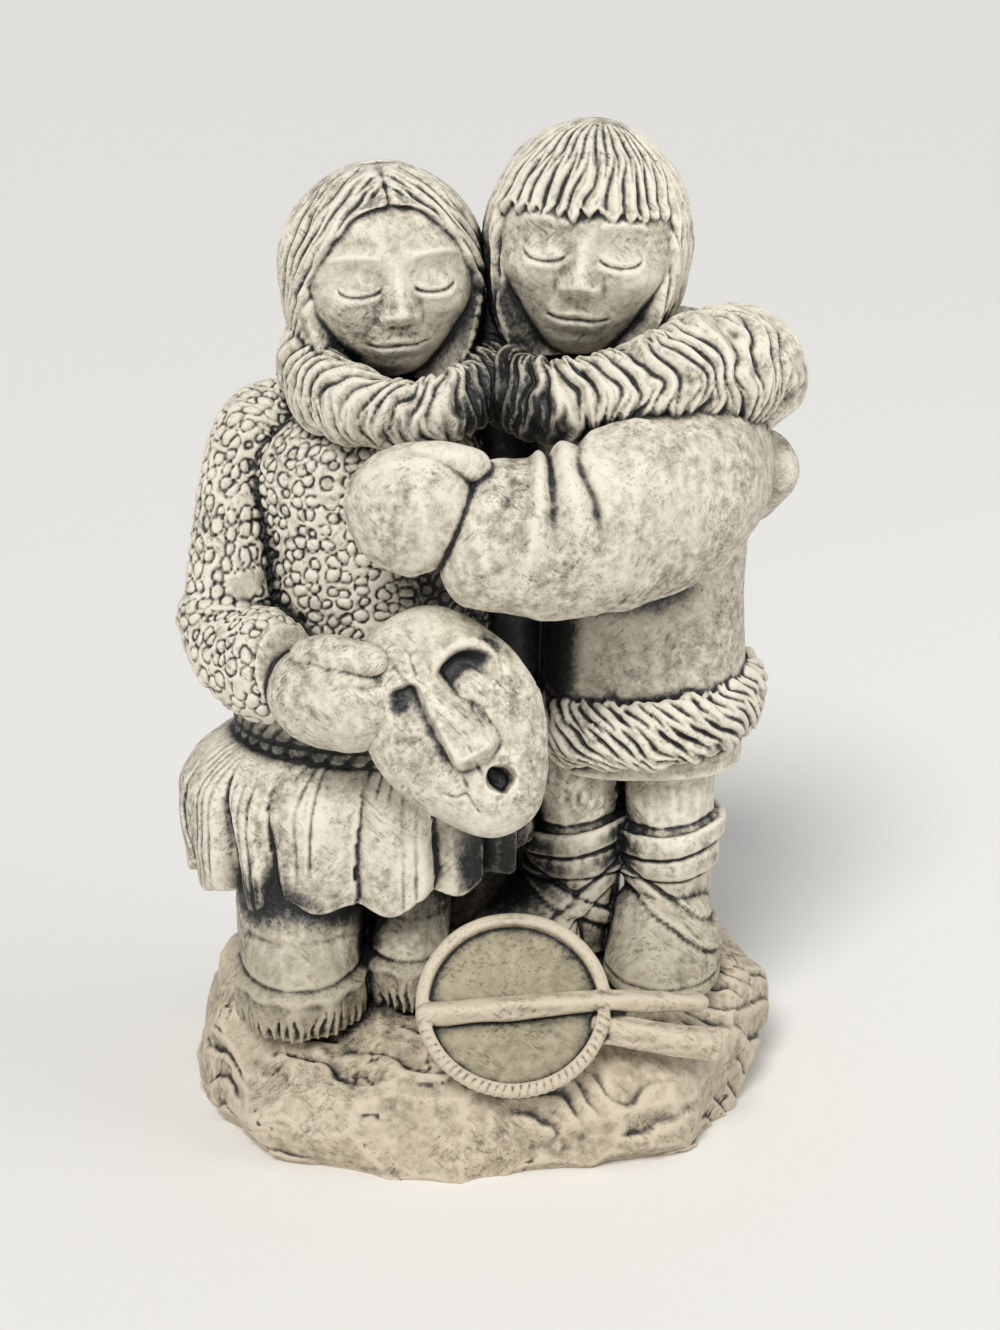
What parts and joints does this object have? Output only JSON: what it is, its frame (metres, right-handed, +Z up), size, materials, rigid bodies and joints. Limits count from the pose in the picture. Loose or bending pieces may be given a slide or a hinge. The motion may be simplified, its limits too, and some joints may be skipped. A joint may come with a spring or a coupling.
{
  "type": "eskimo couple figurine",
  "caption": "Cast figurine of an embracing Arctic couple in fur-trimmed parkas, with a carved mask and a frame drum, on a rock base.",
  "frame": {"origin": "middle of the whole figurine's outline, at its flat underside", "axes": "+Z up, -Y towards the viewer in front of the couple, +X to the viewer's right, the taller figure's side"},
  "size_m": [0.1178, 0.086, 0.1849],
  "materials": {
    "cast_stone": "matte"
  },
  "bodies": {
    "root": {"couple_figurine": "cast_stone"}
  },
  "joints": []
}
